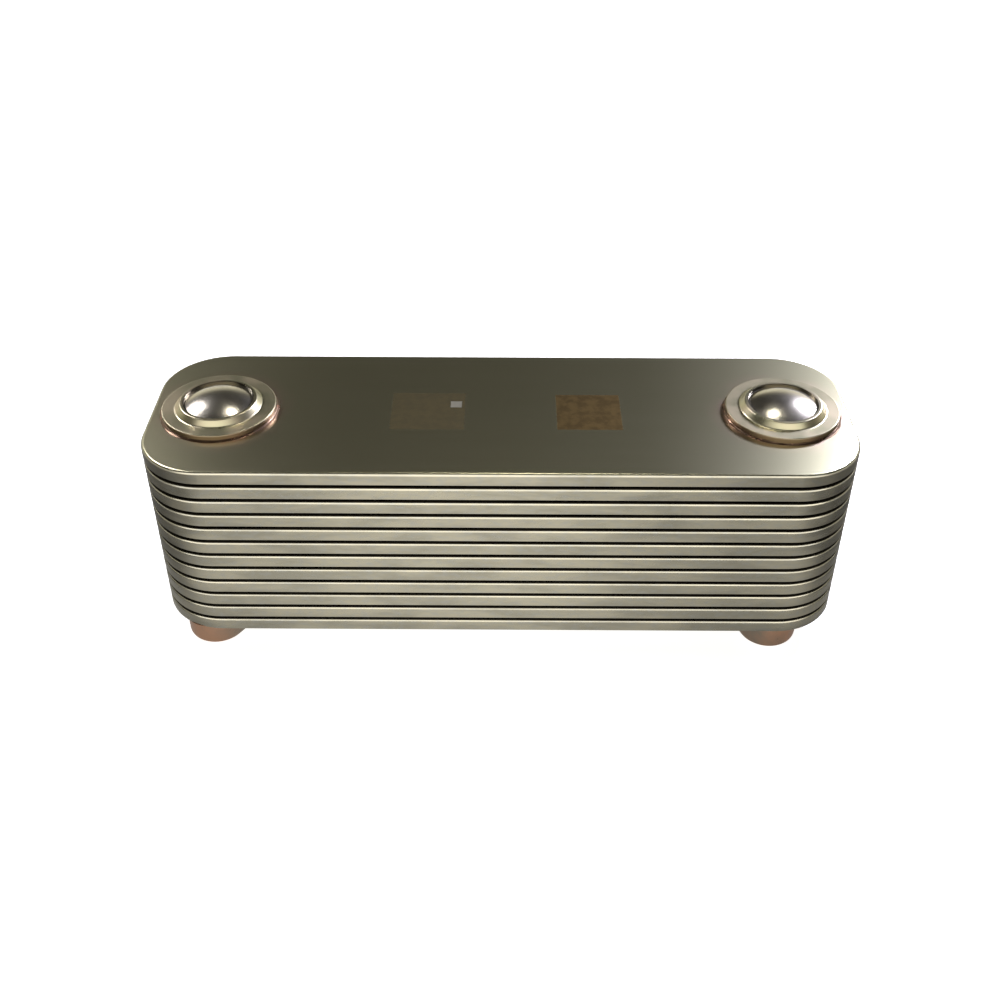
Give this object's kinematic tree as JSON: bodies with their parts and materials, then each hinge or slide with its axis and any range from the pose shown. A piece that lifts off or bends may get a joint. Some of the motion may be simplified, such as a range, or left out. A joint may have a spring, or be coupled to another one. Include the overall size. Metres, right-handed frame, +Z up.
{
  "type": "plate heat exchanger",
  "caption": "Brazed stacked-plate oil cooler core with rounded ends, domed caps over its two port columns and two-lobe port flanges underneath.",
  "frame": {"origin": "middle of the footprint, on the plane that the seal faces of the two port flanges stand on", "axes": "+X along the core from the left port to the right port, +Y across it, +Z up through the stack towards the domed caps"},
  "size_m": [0.25, 0.0776, 0.0866],
  "materials": {
    "stainless_plate": "satin cold-rolled stainless sheet, warm grey from the brazing furnace",
    "fin_sheet": "thin bright rolled sheet",
    "port_ring_steel": "turned, satin",
    "stainless_cap": "pressed and bright, fine turned marks",
    "polished_plug": "drawn and bright, slightly hazed",
    "copper_washed_steel": "copper-plated, dulled by the brazing furnace",
    "copper_braze": "solidified copper braze"
  },
  "bodies": {
    "root": {"cell_01_upper_plate": "stainless_plate", "cell_01_lower_plate": "stainless_plate", "cell_01_turbulator": "fin_sheet", "cell_02_upper_plate": "stainless_plate", "cell_02_lower_plate": "stainless_plate", "cell_02_turbulator": "fin_sheet", "cell_03_upper_plate": "stainless_plate", "cell_03_lower_plate": "stainless_plate", "cell_03_turbulator": "fin_sheet", "cell_04_upper_plate": "stainless_plate", "cell_04_lower_plate": "stainless_plate", "cell_04_turbulator": "fin_sheet", "cell_05_upper_plate": "stainless_plate", "cell_05_lower_plate": "stainless_plate", "cell_05_turbulator": "fin_sheet", "cell_06_upper_plate": "stainless_plate", "cell_06_lower_plate": "stainless_plate", "cell_06_turbulator": "fin_sheet", "cell_07_upper_plate": "stainless_plate", "cell_07_lower_plate": "stainless_plate", "cell_07_turbulator": "fin_sheet", "cell_08_upper_plate": "stainless_plate", "cell_08_lower_plate": "stainless_plate", "cell_08_turbulator": "fin_sheet", "cell_09_upper_plate": "stainless_plate", "cell_09_lower_plate": "stainless_plate", "cell_09_turbulator": "fin_sheet", "cell_10_upper_plate": "stainless_plate", "cell_10_lower_plate": "stainless_plate", "cell_10_turbulator": "fin_sheet", "cell_11_upper_plate": "stainless_plate", "cell_11_lower_plate": "stainless_plate", "cell_11_turbulator": "fin_sheet", "cell_12_upper_plate": "stainless_plate", "cell_12_lower_plate": "stainless_plate", "cell_12_turbulator": "fin_sheet", "gap_01_port_rings": "port_ring_steel", "gap_02_port_rings": "port_ring_steel", "gap_03_port_rings": "port_ring_steel", "gap_04_port_rings": "port_ring_steel", "gap_05_port_rings": "port_ring_steel", "gap_06_port_rings": "port_ring_steel", "gap_07_port_rings": "port_ring_steel", "gap_08_port_rings": "port_ring_steel", "gap_09_port_rings": "port_ring_steel", "gap_10_port_rings": "port_ring_steel", "gap_11_port_rings": "port_ring_steel", "left_cell_spacers": "port_ring_steel", "left_cap_ring": "stainless_cap", "left_cap_dome_plug": "polished_plug", "left_cap_braze_fillet": "copper_braze", "left_port_flange": "copper_washed_steel", "left_flange_braze_fillet": "copper_braze", "right_cell_spacers": "port_ring_steel", "right_cap_ring": "stainless_cap", "right_cap_dome_plug": "polished_plug", "right_cap_braze_fillet": "copper_braze", "right_port_flange": "copper_washed_steel", "right_flange_braze_fillet": "copper_braze"}
  },
  "joints": []
}
